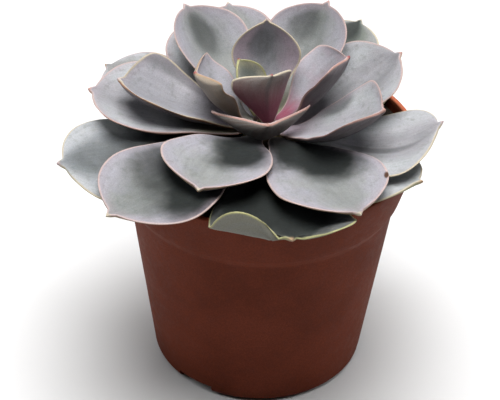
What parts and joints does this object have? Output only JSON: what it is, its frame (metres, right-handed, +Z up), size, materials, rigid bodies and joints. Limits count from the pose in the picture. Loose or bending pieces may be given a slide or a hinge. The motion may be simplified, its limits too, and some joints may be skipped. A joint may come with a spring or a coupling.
{
  "type": "potted echeveria",
  "caption": "Rosette succulent with broad, cupped, pointed leaves on a short stem, rooted in dark soil in a tapered round plastic nursery pot with a flared collar.",
  "frame": {"origin": "on the ground, under the middle of the plant's outline; the pot's axis stands at x 4.5 mm, y -1 mm", "axes": "+Z up; -Y towards the viewer of the picture, +X to that viewer's right"},
  "size_m": [0.1445, 0.1417, 0.138],
  "materials": {
    "leaf_young": "matte",
    "leaf_grown": "matte",
    "leaf_old": "matte",
    "stem_bark": "matte",
    "peat": "matte",
    "pot_plastic": "satin"
  },
  "bodies": {
    "root": {"leaf_01": "leaf_young", "leaf_02": "leaf_young", "leaf_03": "leaf_young", "leaf_04": "leaf_young", "leaf_05": "leaf_young", "leaf_06": "leaf_young", "leaf_07": "leaf_young", "leaf_08": "leaf_young", "leaf_09": "leaf_grown", "leaf_10": "leaf_grown", "leaf_11": "leaf_grown", "leaf_12": "leaf_grown", "leaf_13": "leaf_grown", "leaf_14": "leaf_grown", "leaf_15": "leaf_grown", "leaf_16": "leaf_grown", "leaf_17": "leaf_grown", "leaf_18": "leaf_grown", "leaf_19": "leaf_old", "leaf_20": "leaf_old", "leaf_21": "leaf_old", "leaf_22": "leaf_old", "leaf_23": "leaf_old", "leaf_24": "leaf_old", "leaf_25": "leaf_old", "leaf_26": "leaf_old", "leaf_27": "leaf_old", "leaf_28": "leaf_old", "stem": "stem_bark", "soil": "peat", "pot": "pot_plastic"}
  },
  "joints": []
}
